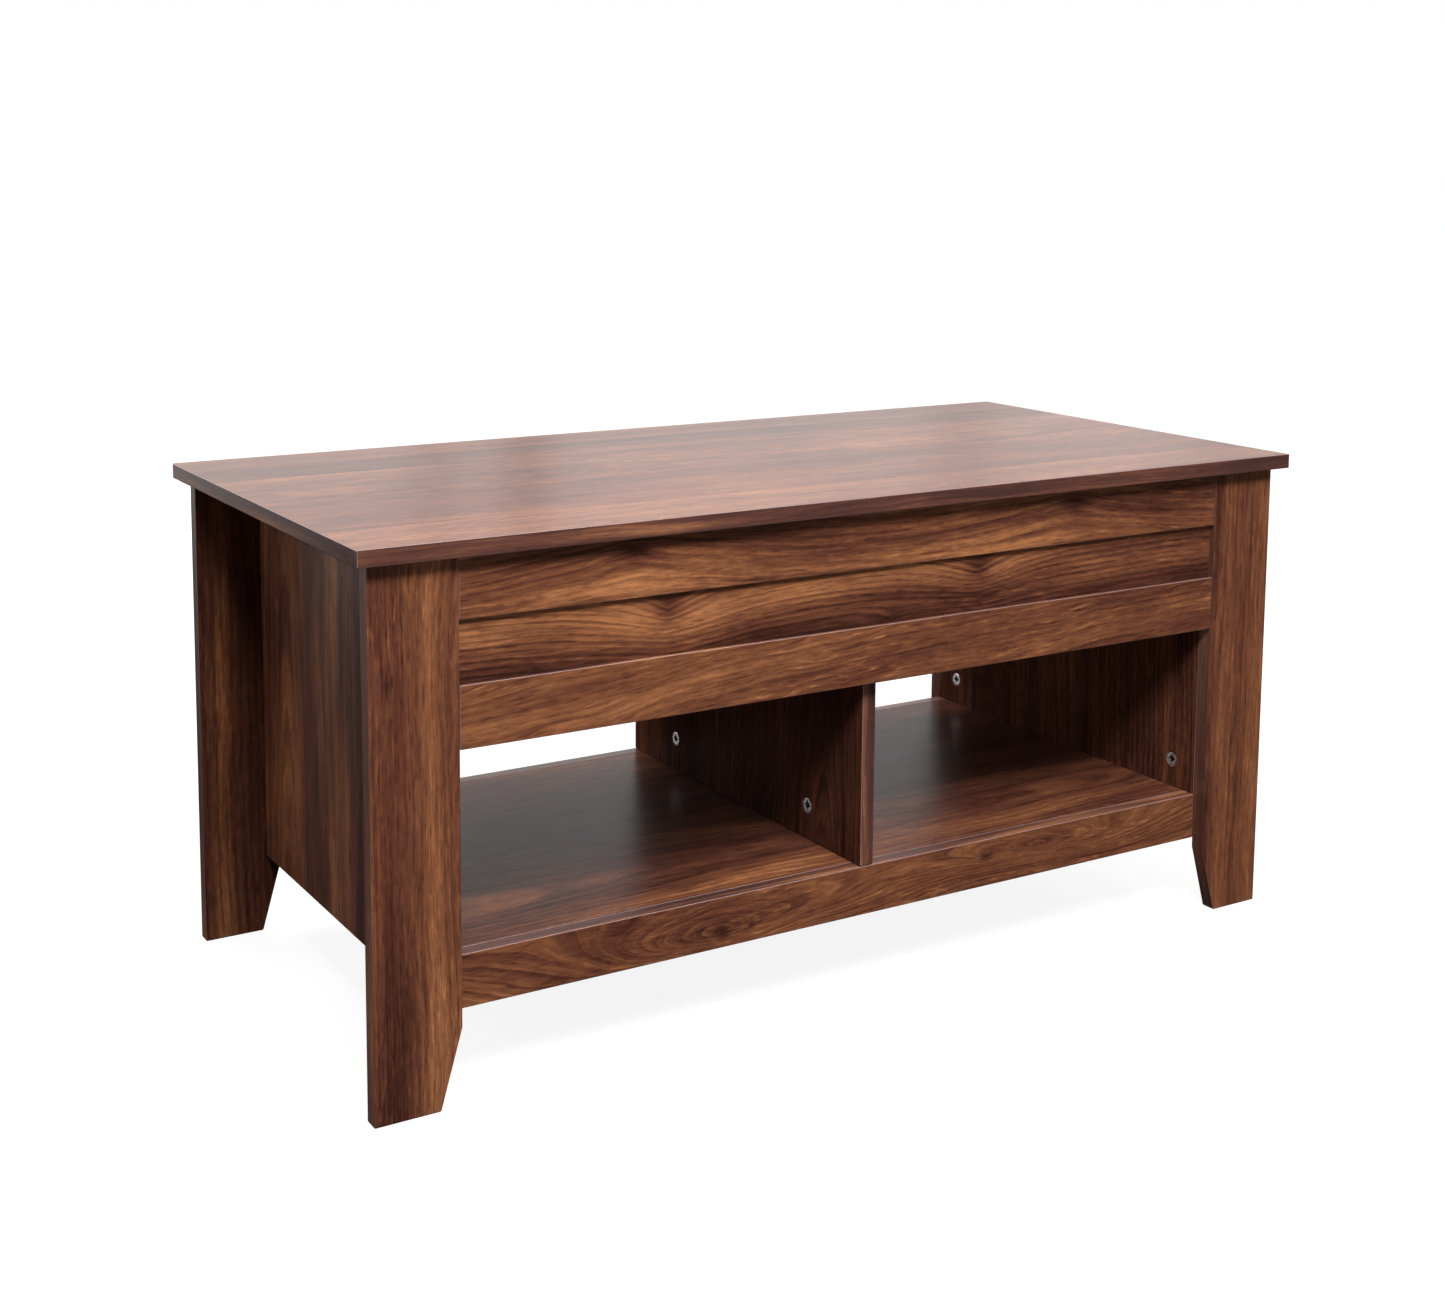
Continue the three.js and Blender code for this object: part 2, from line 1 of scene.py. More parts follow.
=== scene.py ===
"""Looks of the lift top coffee table: walnut laminate, lift hardware, coil springs and a plain studio.

Metres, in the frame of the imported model: +Z up, the front of the table faces -Y, and the floor is z = 0.
"""

import math
from collections import namedtuple
from functools import partial

import bmesh
import bpy
from mathutils import Matrix, Vector


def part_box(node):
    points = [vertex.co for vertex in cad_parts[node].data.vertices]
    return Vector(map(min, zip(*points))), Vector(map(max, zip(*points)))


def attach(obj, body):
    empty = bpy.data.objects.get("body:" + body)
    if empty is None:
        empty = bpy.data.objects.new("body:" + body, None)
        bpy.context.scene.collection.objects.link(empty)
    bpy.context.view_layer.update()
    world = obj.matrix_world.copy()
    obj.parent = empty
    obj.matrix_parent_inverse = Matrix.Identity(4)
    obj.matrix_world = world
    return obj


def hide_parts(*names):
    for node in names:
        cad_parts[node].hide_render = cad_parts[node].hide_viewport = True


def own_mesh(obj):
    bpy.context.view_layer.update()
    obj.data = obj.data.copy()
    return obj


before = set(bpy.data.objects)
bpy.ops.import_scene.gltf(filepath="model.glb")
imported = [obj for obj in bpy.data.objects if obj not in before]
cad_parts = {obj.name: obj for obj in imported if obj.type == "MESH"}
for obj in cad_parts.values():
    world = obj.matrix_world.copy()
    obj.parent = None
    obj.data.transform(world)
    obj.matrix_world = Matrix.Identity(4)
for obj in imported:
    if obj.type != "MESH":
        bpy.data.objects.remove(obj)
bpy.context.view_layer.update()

MM = 0.001
AXES = "XYZ"


def middle_of(node):
    low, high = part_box(node)
    return (low + high) / 2


# ---- Camera and lamps ----------------------------------------------------------------------------

CAMERA_AT = (-1.0837, -1.7078, 0.8052)
CAMERA_TURN = 31.093        # degrees to the right of straight ahead, +Y
CAMERA_TILT = 7.187         # degrees down
CAMERA_ROLL = 0.362
FOCAL_LENGTH = 49.64        # millimetres on a 36 mm sensor
CAMERA_SHIFT = (0.01467, -0.1782)


def add_camera():
    data = bpy.data.cameras.new("camera")
    data.lens = FOCAL_LENGTH
    data.sensor_width = 36
    data.shift_x, data.shift_y = CAMERA_SHIFT
    camera = bpy.data.objects.new("camera", data)
    turn = Matrix.Rotation(math.radians(-CAMERA_TURN), 4, "Z")
    tilt = Matrix.Rotation(math.radians(90 - CAMERA_TILT), 4, "X")
    roll = Matrix.Rotation(math.radians(CAMERA_ROLL), 4, "Z")
    camera.matrix_world = Matrix.Translation(CAMERA_AT) @ turn @ tilt @ roll
    bpy.context.scene.collection.objects.link(camera)
    bpy.context.scene.camera = camera


def add_area_light(name, at, towards, size, power, in_gloss=True):
    data = bpy.data.lights.new(name, "AREA")
    data.shape = "RECTANGLE"
    data.size, data.size_y = size
    data.energy = power
    light = bpy.data.objects.new(name, data)
    light.location = at
    light.rotation_euler = (Vector(towards) - Vector(at)).to_track_quat("-Z", "Y").to_euler()
    light.visible_camera = False
    light.visible_glossy = in_gloss
    bpy.context.scene.collection.objects.link(light)


# ---- Short calls for building node trees ---------------------------------------------------------

class Tree:
    """A node tree, with one short call for each kind of node used here."""

    def __init__(self, owner):
        owner.use_nodes = True
        self.nodes = owner.node_tree.nodes
        self.links = owner.node_tree.links
        self.nodes.clear()

    def add(self, kind, **settings):
        node = self.nodes.new(kind)
        for name, value in settings.items():
            setattr(node, name, value)
        return node

    def put(self, socket, value):
        """Links value if it is another node's output, and sets it otherwise."""
        if isinstance(value, bpy.types.NodeSocket):
            self.links.new(value, socket)
        elif value is not None:
            socket.default_value = value

    def math(self, operation, a, b=None, clamp=False):
        node = self.add("ShaderNodeMath", operation=operation, use_clamp=clamp)
        for socket, value in zip(node.inputs, (a, b)):
            self.put(socket, value)
        return node.outputs[0]

    def add_up(self, *values):
        total = values[0]
        for value in values[1:]:
            total = self.math("ADD", total, value)
        return total

    def times(self, *values):
        product = values[0]
        for value in values[1:]:
            product = self.math("MULTIPLY", product, value)
        return product

    def less(self, a, b):
        return self.math("SUBTRACT", a, b)

    def bell(self, distance, half_width):
        """1 at no distance, and 1/e at half_width either way."""
        share = self.math("DIVIDE", distance, half_width)
        return self.math("EXPONENT", self.times(share, share, -1.0))

    def vector(self, x, y, z):
        node = self.add("ShaderNodeCombineXYZ")
        for socket, value in zip(node.inputs, (x, y, z)):
            self.put(socket, value)
        return node.outputs[0]

    def split(self, vector):
        node = self.add("ShaderNodeSeparateXYZ")
        self.put(node.inputs[0], vector)
        return node.outputs

    def noise(self, vector, scale, detail, roughness=0.5):
        node = self.add("ShaderNodeTexNoise")
        self.put(node.inputs["Vector"], vector)
        self.put(node.inputs["Scale"], scale)
        self.put(node.inputs["Detail"], detail)
        self.put(node.inputs["Roughness"], roughness)
        return node.outputs[0]

    def span(self, value, low, high, to_low=0.0, to_high=1.0, smooth=True):
        """Maps low..high to to_low..to_high, and holds the ends."""
        kind = "SMOOTHSTEP" if smooth else "LINEAR"
        node = self.add("ShaderNodeMapRange", interpolation_type=kind)
        for socket, item in zip(node.inputs, (value, low, high, to_low, to_high)):
            self.put(socket, item)
        return node.outputs[0]

    def between(self, kind, share, a, b):
        node = self.add("ShaderNodeMix", data_type=kind)
        # The node has sockets of the same name for every kind of value, and only the ones in use are enabled.
        inputs = {socket.name: socket for socket in node.inputs if socket.enabled}
        self.put(inputs["Factor"], share)
        self.put(inputs["A"], a)
        self.put(inputs["B"], b)
        return next(socket for socket in node.outputs if socket.enabled)

    def mix(self, share, a, b):
        """A number between a and b."""
        return self.between("FLOAT", share, a, b)

    def blend(self, share, a, b):
        """A colour between a and b."""
        a, b = ((*colour, 1.0) if isinstance(colour, tuple) else colour for colour in (a, b))
        return self.between("RGBA", share, a, b)

    def ramp(self, share, stops):
        """A colour from a smooth ramp through stops, each a place and a colour."""
        node = self.add("ShaderNodeValToRGB")
        node.color_ramp.interpolation = "B_SPLINE"
        elements = node.color_ramp.elements
        while len(elements) < len(stops):
            elements.new(0.5)
        for element, (place, colour) in zip(elements, stops):
            element.position = place
            element.color = (*colour, 1.0)
        self.put(node.inputs[0], share)
        return node.outputs["Color"]

    def bump(self, height, strength, distance):
        node = self.add("ShaderNodeBump")
        self.put(node.inputs["Strength"], strength)
        self.put(node.inputs["Distance"], distance)
        self.put(node.inputs["Height"], height)
        return node.outputs[0]

    def object_point(self):
        return self.add("ShaderNodeTexCoord").outputs["Object"]

    def surface(self, **inputs):
        """The Principled shader and its output; underscores in names stand for spaces."""
        shader = self.add("ShaderNodeBsdfPrincipled")
        for name, value in inputs.items():
            self.put(shader.inputs[name.replace("_", " ")], value)
        output = self.add("ShaderNodeOutputMaterial")
        self.links.new(shader.outputs[0], output.inputs["Surface"])


# ---- Surroundings and floor ----------------------------------------------------------------------

# Where the surroundings change, as parts of the direction away from the table: along Y, Z and X.
TO_BEHIND = (-0.55, 0.25)
TO_ABOVE_FLOOR = (-0.22, -0.02)
TO_LEFT = (0.0, -0.4)
# How bright they are in gloss, and as fill light. GLOSS_BELOW and GLOSS_ON_LEFT are factors on the gloss.
GLOSS_IN_FRONT = 0.04
GLOSS_BEHIND = 0.86
GLOSS_BELOW = 0.02
GLOSS_ON_LEFT = 2.1
FILL_FROM_BELOW = 0.02
FILL_FROM_ABOVE = 0.06
# Soft dark uprights behind the table, seen only in gloss: (x / y of the direction, half width, depth).
WINDOW_BARS = ((0.432, 0.016, 0.24), (0.488, 0.016, 0.42), (0.80, 0.03, 0.20), (1.05, 0.05, 0.18))


def add_world():
    """Plain white to look at. Gloss sees it bright behind the table and dim in front and below; the light it
    gives off is faint, so that the lamps do the lighting."""
    world = bpy.data.worlds.new("studio")
    bpy.context.scene.world = world
    tree = Tree(world)
    x, y, z = tree.split(tree.add("ShaderNodeTexCoord").outputs["Generated"])
    behind = tree.span(y, *TO_BEHIND, GLOSS_IN_FRONT, GLOSS_BEHIND)
    above_floor = tree.span(z, *TO_ABOVE_FLOOR, GLOSS_BELOW, 1.0)
    on_left = tree.span(x, *TO_LEFT, 1.0, GLOSS_ON_LEFT)
    gloss = tree.times(behind, above_floor, on_left)
    sideways = tree.math("DIVIDE", x, tree.math("MAXIMUM", y, 0.01))
    for place, half_width, depth in WINDOW_BARS:
        bar = tree.bell(tree.less(sideways, place), half_width)
        gloss = tree.times(gloss, tree.less(1.0, tree.times(bar, depth)))
    fill = tree.span(z, -1.0, 1.0, FILL_FROM_BELOW, FILL_FROM_ABOVE, smooth=False)
    rays = tree.add("ShaderNodeLightPath").outputs
    strength = tree.mix(rays["Is Glossy Ray"], fill, gloss)
    background = tree.add("ShaderNodeBackground")
    background.inputs["Color"].default_value = (1.0, 1.0, 1.0, 1.0)
    tree.put(background.inputs["Strength"], tree.mix(rays["Is Camera Ray"], strength, 1.0))
    output = tree.add("ShaderNodeOutputWorld")
    tree.links.new(background.outputs[0], output.inputs["Surface"])


FLOOR_SIZE = 60
FLOOR_SHADES = ((0.13, 0.13, 0.13), (0.15, 0.15, 0.15))
FLOOR_GLOW = (0.88, 1.0)            # around the table, where its shadow shows, and far from it
FLOOR_GLOW_CHANGES = (0.6, 3.0)     # metres from the table's middle


def add_floor():
    """A white floor that shows only to the camera, so that it doesn't light the table from below."""
    mesh = bpy.data.meshes.new("floor")
    half = FLOOR_SIZE / 2
    corners = [(-half, -half, 0), (half, -half, 0), (half, half, 0), (-half, half, 0)]
    mesh.from_pydata(corners, [], [(0, 1, 2, 3)])
    floor = bpy.data.objects.new("floor", mesh)
    floor.visible_diffuse = False
    floor.visible_glossy = False
    bpy.context.scene.collection.objects.link(floor)
    material = bpy.data.materials.new("floor")
    tree = Tree(material)
    point = tree.object_point()
    distance = tree.add("ShaderNodeVectorMath", operation="LENGTH")
    tree.put(distance.inputs[0], point)
    tree.surface(
        Base_Color=tree.blend(tree.noise(point, 3.0, 3.0), *FLOOR_SHADES),
        Roughness=0.9,
        Specular_IOR_Level=0.1,
        Emission_Color=(1.0, 1.0, 1.0, 1.0),
        Emission_Strength=tree.span(distance.outputs["Value"], *FLOOR_GLOW_CHANGES, *FLOOR_GLOW),
    )
    mesh.materials.append(material)


# ---- Walnut laminate -----------------------------------------------------------------------------

# Colours of the figure, from a dark knot to the golden streaks.
KNOT = (0.018, 0.007, 0.005)
DARK = (0.050, 0.016, 0.010)
PURPLE = (0.092, 0.031, 0.019)
BROWN = (0.150, 0.054, 0.025)
WARM = (0.225, 0.087, 0.038)
GOLD = (0.430, 0.176, 0.070)
TONES = [(0.0, KNOT), (0.2, DARK), (0.37, PURPLE), (0.52, BROWN), (0.68, WARM), (0.92, GOLD)]
MIDDLE_TONE = 0.47
# Colours mixed into the edges and into the rounded corners, and how much of each; the corners' pale
# lilac-grey is a painted highlight.
EDGE_BAND = (0.110, 0.054, 0.048)
EDGE_BAND_SHARE = 0.35
CORNER_HIGHLIGHT = (0.36, 0.26, 0.27)
CORNER_HIGHLIGHT_SHARE = 0.45
EDGE_CONTRAST = 2.2
EDGE_SPECULAR = 0.8
EDGE_FINENESS = 1.7         # an edge band's figure is this much finer across than a face's
# Sheen left on a board's face inside a bay, cut low to stand in for the bay's shade.
SHADED_SIDE_SPECULAR = 0.02

# What the faces of a board, and the joints of its planks, add to the number that tells figures apart.
BROAD_STEP, SIDE_STEP, END_STEP, PLANK_STEP = 1.7, 3.1, 5.3, 2.3
EDGE_NORMAL = 0.7           # an edge's normal has a larger part than this along or across the board
FLAT_NORMAL = 0.97          # the largest part of the normal where a rounded corner starts
CORNER_NORMAL = 0.80        # and where it has its full painted highlight

KNOT_TAPER = 1.7            # the lower, the more pointed a knot's ends
SWELL_SPREAD = 0.65         # the lower, the further a knot swells the grain
CORE_SHARPNESS = 2.2        # the higher, the smaller a knot's dark core

# A growth line's place in its ring, from 0 to 1: it darkens slowly and ends at once.
LINE_STARTS, LINE_IS_FULL, LINE_FADES, LINE_ENDS = 0.30, 0.92, 0.94, 1.0
LINE_OFFSET = -0.15         # added to the noise that sets each line's strength

WANDER = 50 * MM            # how far the grain wanders in long waves
WIGGLE = 4 * MM             # and in short ones
PORE_DEPTH = 0.05 * MM

# How far each layer of the figure shifts the tone.
BELT, STREAK, CLOUD, THREAD, RIPPLE, FLECK, PORE = 0.85, 0.32, 0.55, 0.62, 0.30, 0.22, 0.13

Face = namedtuple("Face", "length width number is_edge corner outward")


def face_coordinates(tree, node, along, across):
    """The grain's own coordinates on each face of a board, in metres from the board's middle.

    On the broad faces the figure runs along and across the board; on each edge it runs along that edge,
    as edge banding does. The number tells the faces apart, so that no two show the same figure. Corner is 1
    on the rounded corners, and outward runs from -1 on one broad face to 1 on the other."""
    middle = middle_of(node)
    coordinates = tree.add("ShaderNodeTexCoord")
    point = dict(zip(AXES, tree.split(coordinates.outputs["Object"])))
    normal = dict(zip(AXES, tree.split(coordinates.outputs["Normal"])))
    through = next(axis for axis in AXES if axis not in (along, across))
    lengthwise, crosswise, depthwise = (
        tree.less(point[axis], middle[AXES.index(axis)]) for axis in (along, across, through)
    )
    size = {axis: tree.math("ABSOLUTE", normal[axis]) for axis in AXES}
    sign = {axis: tree.math("SIGN", normal[axis]) for axis in AXES}
    is_end = tree.math("GREATER_THAN", size[along], EDGE_NORMAL)
    is_side = tree.math("GREATER_THAN", size[across], EDGE_NORMAL)
    is_edge = tree.math("MAXIMUM", is_end, is_side)
    squareness = tree.math("MAXIMUM", size[through], tree.math("MAXIMUM", size[along], size[across]))
    number = tree.add_up(
        tree.times(sign[through], BROAD_STEP),
        tree.times(sign[across], is_side, SIDE_STEP),
        tree.times(sign[along], is_end, END_STEP),
    )
    return Face(
        length=tree.mix(is_end, lengthwise, crosswise),
        width=tree.mix(is_edge, crosswise, tree.times(depthwise, EDGE_FINENESS)),
        number=number,
        is_edge=is_edge,
        corner=tree.span(squareness, FLAT_NORMAL, CORNER_NORMAL),
        outward=normal[through],
    )


def lay_planks(tree, face, planks):
    """Gives each plank of a plank pattern a figure of its own. Returns the face and its change of tone."""
    number, tone = face.number, 0.0
    for place, change in planks:
        beyond = tree.math("GREATER_THAN", face.width, place * MM)
        number = tree.add_up(number, tree.times(beyond, PLANK_STEP))
        tone = tree.add_up(tree.times(beyond, change), tone)
    return face._replace(number=number), tone


def drawn_out_noise(tree, face, crosswise, per_length, per_width, detail=2.0, roughness=0.5, offset=0.0):
    """Noise drawn out along the grain, from -0.5 to 0.5; the rates are features per metre."""
    number = tree.add_up(face.number, offset)
    at = tree.vector(tree.times(face.length, per_length), tree.times(crosswise, per_width), number)
    return tree.less(tree.noise(at, 1.0, detail, roughness), 0.5)


def knot_effects(tree, face, line_of_grain, knots):
    """How far the knots swell the grain, in metres, and how much they darken it."""
    swell, shade = 0.0, 0.0
    for at, aside, long, wide, lift, darkness in knots:
        off_along = tree.math("DIVIDE", tree.less(face.length, at * MM), long * MM)
        off_across = tree.math("DIVIDE", tree.less(line_of_grain, aside * MM), wide * MM)
        reach = tree.add_up(
            tree.math("POWER", tree.math("ABSOLUTE", off_along), KNOT_TAPER),
            tree.times(off_across, off_across),
        )
        if lift:
            hill = tree.math("EXPONENT", tree.times(tree.math("POWER", reach, SWELL_SPREAD), -1.0))
            swell = tree.add_up(tree.times(hill, lift * MM), swell)
        if darkness:
            core = tree.math("EXPONENT", tree.times(reach, -CORE_SHARPNESS))
            shade = tree.add_up(tree.times(core, darkness), shade)
    return swell, shade


def growth_lines(tree, face, radius, spacing):
    """A dark line to each growth ring, each ring's line of its own strength."""
    rings = tree.math("DIVIDE", radius, spacing * MM)
    phase = tree.math("FRACT", rings)
    line = tree.times(
        tree.span(phase, LINE_STARTS, LINE_IS_FULL),
        tree.span(phase, LINE_ENDS, LINE_FADES),
    )
    own = tree.vector(tree.times(tree.math("FLOOR", rings), 3.7), face.number, tree.times(face.length, 6.0))
    return tree.times(line, tree.add_up(tree.noise(own, 1.0, 1.0), LINE_OFFSET))


def walnut(node, grain, seed=0.0, tone=0.0, pith=(0, 50, 0.03), spacing=7, slope=0.0, wave=1.0, lines=0.3,
           contrast=1.0, knots=(), bands=(), planks=(), gloss=0.30, specular=0.5, relief=1.0, flecks=1.0,
           edge_tone=-0.04, shaded_side=0):
    """Walnut laminate for one board. Lengths are in millimetres, from the board's middle.

    grain: the axis that the grain runs along, and the one across it.
    tone: shifts the whole figure along TONES, and edge_tone shifts the edges' too.
    pith: where the growth rings' centre lies, as (across the board, below its face, rise along it).
    spacing: from one growth line to the next; lines is how dark they are.
    slope and wave: how the grain runs off the board's length, and how much it wanders.
    knots: (along, across, length, width, swell of the grain, darkness).
    bands: (across, half width, change of tone) for streaks that run the board's length.
    planks: (across, change of tone) for each joint of a plank pattern.
    gloss: roughness. relief: depth of the pores. flecks: strength of the light flecks.
    shaded_side: 1 or -1 for a board whose face that way lies inside a bay; that face gets hardly any sheen,
    which stands in for the bay's shade."""
    material = bpy.data.materials.new("walnut_" + node)
    tree = Tree(material)
    add, less, times = tree.add_up, tree.less, tree.times
    face = face_coordinates(tree, node, *grain)
    face = face._replace(number=add(face.number, seed))
    face, plank_tone = lay_planks(tree, face, planks)
    on_face = less(1.0, face.is_edge)
    streaks = partial(drawn_out_noise, tree, face)

    # The grain wanders a little, and swells around the knots.
    wander = add(
        times(streaks(face.width, 3.0, 9.0), WANDER * wave),
        times(streaks(face.width, 12.0, 40.0), WIGGLE * wave),
        times(face.length, slope),
    )
    line_of_grain = add(face.width, wander)
    swell, shade = knot_effects(tree, face, line_of_grain, knots)
    centre, depth, rise = pith
    aside = less(line_of_grain, centre * MM)
    below = add(times(face.length, rise), depth * MM)
    from_pith = tree.math("SQRT", add(times(aside, aside), times(below, below)))
    radius = tree.mix(face.is_edge, add(from_pith, swell), line_of_grain)

    # Belts, streaks and threads of colour follow the rings; ripples, pores and flecks follow the grain.
    strength = tree.mix(face.is_edge, contrast, EDGE_CONTRAST)
    belt = streaks(radius, 1.6, 30.0, detail=3.0, roughness=0.55)
    streak = streaks(radius, 5.0, 130.0, offset=10.0)
    cloud = streaks(face.width, 5.0, 14.0, detail=3.0, offset=20.0)
    thread = streaks(radius, 18.0, 480.0, detail=3.0, roughness=0.7, offset=30.0)
    ripple = streaks(line_of_grain, 75.0, 300.0, roughness=0.6, offset=40.0)
    pore = tree.span(streaks(line_of_grain, 60.0, 560.0, detail=1.0, offset=50.0), 0.07, 0.22)
    # The flecks lie in patches.
    fleck = times(
        tree.span(streaks(line_of_grain, 42.0, 300.0, roughness=0.6, offset=60.0), 0.02, 0.28),
        tree.span(streaks(line_of_grain, 7.0, 26.0, offset=70.0), -0.12, 0.20),
    )
    level = add(
        times(belt, strength, BELT),
        times(streak, strength, STREAK),
        times(cloud, strength, CLOUD),
        times(thread, THREAD),
        times(ripple, RIPPLE),
        times(fleck, FLECK * flecks),
        times(face.is_edge, edge_tone),
        plank_tone,
        MIDDLE_TONE + tone,
    )
    for place, half_width, change in bands:
        band = tree.bell(less(line_of_grain, place * MM), half_width * MM)
        level = add(level, times(band, on_face, change))
    level = less(level, times(growth_lines(tree, face, radius, spacing), lines))
    level = less(level, times(pore, PORE))
    level = tree.math("SUBTRACT", level, times(shade, on_face), clamp=True)

    colour = tree.ramp(level, TONES)
    colour = tree.blend(times(face.is_edge, EDGE_BAND_SHARE), colour, EDGE_BAND)
    # A painted highlight on the rounded corners, in a pale lilac-grey.
    colour = tree.blend(times(face.corner, CORNER_HIGHLIGHT_SHARE), colour, CORNER_HIGHLIGHT)
    sheen = specular
    # The sheen is cut on the face inside the bay, to stand in for the bay's shade.
    if shaded_side:
        sheen = tree.span(times(face.outward, shaded_side), -0.5, 0.5, specular, SHADED_SIDE_SPECULAR)
    worn = streaks(face.width, 30.0, 60.0)
    tree.surface(
        Base_Color=colour,
        Roughness=add(times(thread, 0.10), times(worn, 0.08), gloss),
        Specular_IOR_Level=tree.mix(face.is_edge, sheen, EDGE_SPECULAR),
        Normal=tree.bump(less(times(thread, 0.5), pore), strength=0.35 * relief, distance=PORE_DEPTH),
    )
    return material


# ---- Metals and rubber ---------------------------------------------------------------------------

def black_steel():
    """Powder coat: a fine orange-peel surface with a few lighter scuffs."""
    material = bpy.data.materials.new("black_steel")
    tree = Tree(material)
    point = tree.object_point()
    peel = tree.noise(point, 900.0, 2.0)
    scuff = tree.span(tree.noise(point, 55.0, 4.0, 0.7), 0.60, 0.74)
    tree.surface(
        Base_Color=tree.blend(scuff, (0.012, 0.012, 0.013), (0.035, 0.035, 0.037)),
        Roughness=tree.add_up(tree.times(scuff, 0.14), tree.times(peel, 0.16), 0.30),
        Normal=tree.bump(peel, strength=0.4, distance=0.15 * MM),
    )
    return material


def bare_metal(name, light, dark, roughness, grain, shadow=None):
    """Plated or cast metal, mottled between two colours.

    shadow, if given, takes the tree and returns the share of painted shadow at each point."""
    material = bpy.data.materials.new(name)
    tree = Tree(material)
    point = tree.object_point()
    mottle = tree.noise(point, grain, 4.0, 0.65)
    fine = tree.noise(point, grain * 6, 2.0)
    colour = tree.blend(tree.span(mottle, 0.35, 0.65), dark, light)
    if shadow:
        # Painted shadow: the colour goes nearly black where shadow gives it.
        colour = tree.blend(shadow(tree), colour, (0.03, 0.03, 0.03))
    # The two noises add 0.13 to the roughness on average.
    tree.surface(
        Base_Color=colour,
        Metallic=1.0,
        Roughness=tree.add_up(tree.times(fine, 0.16), tree.times(mottle, 0.10), roughness - 0.13),
        Normal=tree.bump(fine, strength=0.25, distance=0.04 * MM),
    )
    return material


def rubber():
    material = bpy.data.materials.new("rubber")
    tree = Tree(material)
    grain = tree.noise(tree.object_point(), 1400.0, 2.0)
    tree.surface(
        Base_Color=tree.blend(grain, (0.014, 0.012, 0.011), (0.028, 0.025, 0.023)),
        Roughness=tree.add_up(tree.times(grain, 0.15), 0.7),
        Normal=tree.bump(grain, strength=0.4, distance=0.1 * MM),
    )
    return material


# ---- Edges ---------------------------------------------------------------------------------------

def corner_joiner():
    """Geometry nodes that join the split corners of an imported mesh and drop its stored normals."""
    group = bpy.data.node_groups.new("joined_corners", "GeometryNodeTree")
    group.interface.new_socket("Geometry", in_out="INPUT", socket_type="NodeSocketGeometry")
    group.interface.new_socket("Geometry", in_out="OUTPUT", socket_type="NodeSocketGeometry")
    start = group.nodes.new("NodeGroupInput")
    forget = group.nodes.new("GeometryNodeRemoveAttribute")
    forget.inputs["Name"].default_value = "custom_normal"
    merge = group.nodes.new("GeometryNodeMergeByDistance")
    merge.inputs["Distance"].default_value = 0.01 * MM
    smooth = group.nodes.new("GeometryNodeSetShadeSmooth")
    end = group.nodes.new("NodeGroupOutput")
    chain = (start, forget, merge, smooth, end)
    for before, after in zip(chain, chain[1:]):
        group.links.new(before.outputs[0], after.inputs[0])
    return group


joined_corners = corner_joiner()


def round_edges(piece, radius):
    """Rounds a CAD node's edges with modifiers, which leave its mesh as it is."""
    joined = piece.modifiers.new("joined", "NODES")
    joined.node_group = joined_corners
    bevel = piece.modifiers.new("rounded", "BEVEL")
    bevel.width = radius
    bevel.segments = 3
    bevel.limit_method = "ANGLE"
    bevel.angle_limit = math.radians(35)
    bevel.harden_normals = True
    bevel.use_clamp_overlap = True


def dress(node, material, radius):
    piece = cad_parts[node]
    piece.data.materials.clear()
    piece.data.materials.append(material)
    round_edges(piece, radius)


BOARD_EDGE = 1.0 * MM
STEEL_EDGE = 0.35 * MM
FASTENER_EDGE = 0.25 * MM


# ---- Boards --------------------------------------------------------------------------------------

# The grain's axis on each kind of board, and the axis across it.
FLAT = ("X", "Y")
RAIL = ("X", "Z")
SIDE = ("Z", "Y")
LEG = ("Z", "X")

